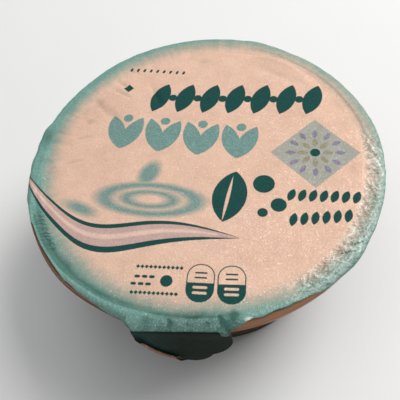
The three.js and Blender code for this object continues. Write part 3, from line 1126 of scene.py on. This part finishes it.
def sheet_faces(count, rings, back_rings):
    """Faces of the sheet's front, and those of its back and its edge. The points are the grid of
    the front, the grid of the back, and the two centres."""
    first_back = count * rings
    centre = first_back + count * back_rings
    front = disc_faces(count, rings, 0, centre)
    others = [face[::-1] for face in disc_faces(count, back_rings, first_back, centre + 1)]
    for j in range(count):
        after = (j + 1) % count
        front_edge = [(k + 1) * rings - 1 for k in (j, after)]
        back_edge = [first_back + (k + 1) * back_rings - 1 for k in (j, after)]
        others.append((front_edge[1], front_edge[0], back_edge[0], back_edge[1]))
    return front, others


def add_vectors(piece, name, grids):
    """Keeps a vector for each of the piece's points, from grids of them, and zero past the grids."""
    rows = np.concatenate([grid.reshape(-1, 3) for grid in grids])
    vectors = np.zeros((len(piece.data.vertices), 3), np.float32)
    vectors[:len(rows)] = rows
    attribute = piece.data.attributes.new(name, "FLOAT_VECTOR", "POINT")
    attribute.data.foreach_set("vector", vectors.ravel())


def make_foil():
    way = Spokes(foil_angles())
    s = way.reaches()
    wear_and_shade = WearAndShade(way, s)
    smooth = foil_point(way, s)
    points = smooth + wear_and_shade.height()[..., None] * normals_of(smooth)
    points = roll_edge(points, normals_of(points), way, s)

    count, rings = s.shape
    kept = np.r_[0:INNER_RINGS:BACK_STRIDE, INNER_RINGS:rings]
    slack = np.where(kept < INNER_RINGS, BACK_SLACK, 0)[:, None] * (0, 0, 1)
    back = (points - FOIL_THICKNESS * normals_of(points))[:, kept] - slack
    middle = np.array([0.0, 0.0, float(lid_height(0.0, 0.0))])
    places = [*points.reshape(-1, 3), *back.reshape(-1, 3), middle, middle - (0, 0, BACK_SLACK)]
    front_faces, other_faces = sheet_faces(count, rings, len(kept))
    foil = add_mesh("lid_foil", places, front_faces + other_faces, foil_material())
    foil.data.materials.append(bare_foil_material())
    sides = [0] * len(front_faces) + [1] * len(other_faces)
    foil.data.polygons.foreach_set("material_index", sides)
    foil.data.set_sharp_from_angle(angle=np.radians(FOIL_SHARP_ANGLE))

    blank = np.stack([wear_and_shade.x, wear_and_shade.y, np.zeros_like(s)], axis=-1)
    add_vectors(foil, "wear_and_shade", [np.stack([wear_and_shade.rubbed_and_glints(), wear_and_shade.painted_shade(), wear_and_shade.crinkled()], axis=-1)])
    add_vectors(foil, "blank", [blank, blank[:, kept]])
    return foil


# ==== studio ====

def make_floor():
    corners = [(x * FLOOR_REACH, y * FLOOR_REACH, 0) for x, y in ((-1, -1), (1, -1), (1, 1), (-1, 1))]
    floor = add_mesh("floor", corners, [(0, 1, 2, 3)], floor_material())


def area_light(name, azimuth, elevation, distance, size, power, colour=(1, 1, 1)):
    """A square light that faces the lid. Its azimuth is counted from +X towards +Y, in degrees,
    and its distance and size are metres."""
    a, e = np.radians([azimuth, elevation])
    aim = Vector((0, 0, HEIGHT * METRES))
    toward = Vector((np.cos(a) * np.cos(e), np.sin(a) * np.cos(e), np.sin(e)))
    light = bpy.data.lights.new(name, "AREA")
    light.size = size
    light.energy = power
    light.color = colour
    lamp = bpy.data.objects.new(name, light)
    lamp.location = aim + toward * distance
    lamp.rotation_mode = "QUATERNION"
    lamp.rotation_quaternion = toward.to_track_quat("Z", "Y")
    bpy.context.scene.collection.objects.link(lamp)


def make_lights():
    area_light("key", azimuth=30, elevation=52, distance=2.0, size=1.1, power=31, colour=KEY_LIGHT)
    area_light("overhead", azimuth=240, elevation=84, distance=2.0, size=2.0, power=13)
    area_light("back", azimuth=85, elevation=17, distance=1.6, size=1.2, power=6)
    world = bpy.data.worlds.new("studio")
    world.use_nodes = True
    background = world.node_tree.nodes["Background"]
    background.inputs["Color"].default_value = (*SKY, 1.0)
    background.inputs["Strength"].default_value = SKY_STRENGTH
    bpy.context.scene.world = world
    bpy.context.scene.view_settings.view_transform = "Standard"


def make_camera():
    azimuth, elevation, roll = np.radians([CAMERA_AZIMUTH, CAMERA_ELEVATION, CAMERA_ROLL])
    back = Vector((
        np.sin(azimuth) * np.cos(elevation),
        -np.cos(azimuth) * np.cos(elevation),
        np.sin(elevation),
    ))
    right = (-back).cross(Vector((0, 0, 1))).normalized()
    up = right.cross(-back)
    turned_right = right * np.cos(roll) + up * np.sin(roll)
    turned_up = up * np.cos(roll) - right * np.sin(roll)
    camera = bpy.data.cameras.new("camera")
    camera.lens = CAMERA_LENS
    camera.clip_start = 0.01
    holder = bpy.data.objects.new("camera", camera)
    axes = Matrix((turned_right, turned_up, back)).transposed()
    place = (Vector(CAMERA_TARGET) + back * CAMERA_DISTANCE) * METRES
    holder.matrix_world = Matrix.Translation(place) @ axes.to_4x4()
    bpy.context.scene.collection.objects.link(holder)
    bpy.context.scene.camera = holder


# ==== scene ====

make_camera()
make_lights()
make_floor()

tub = make_tub()
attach(tub, "root")
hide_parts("tub")

foil = make_foil()
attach(foil, "root")
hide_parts("foil_lid")
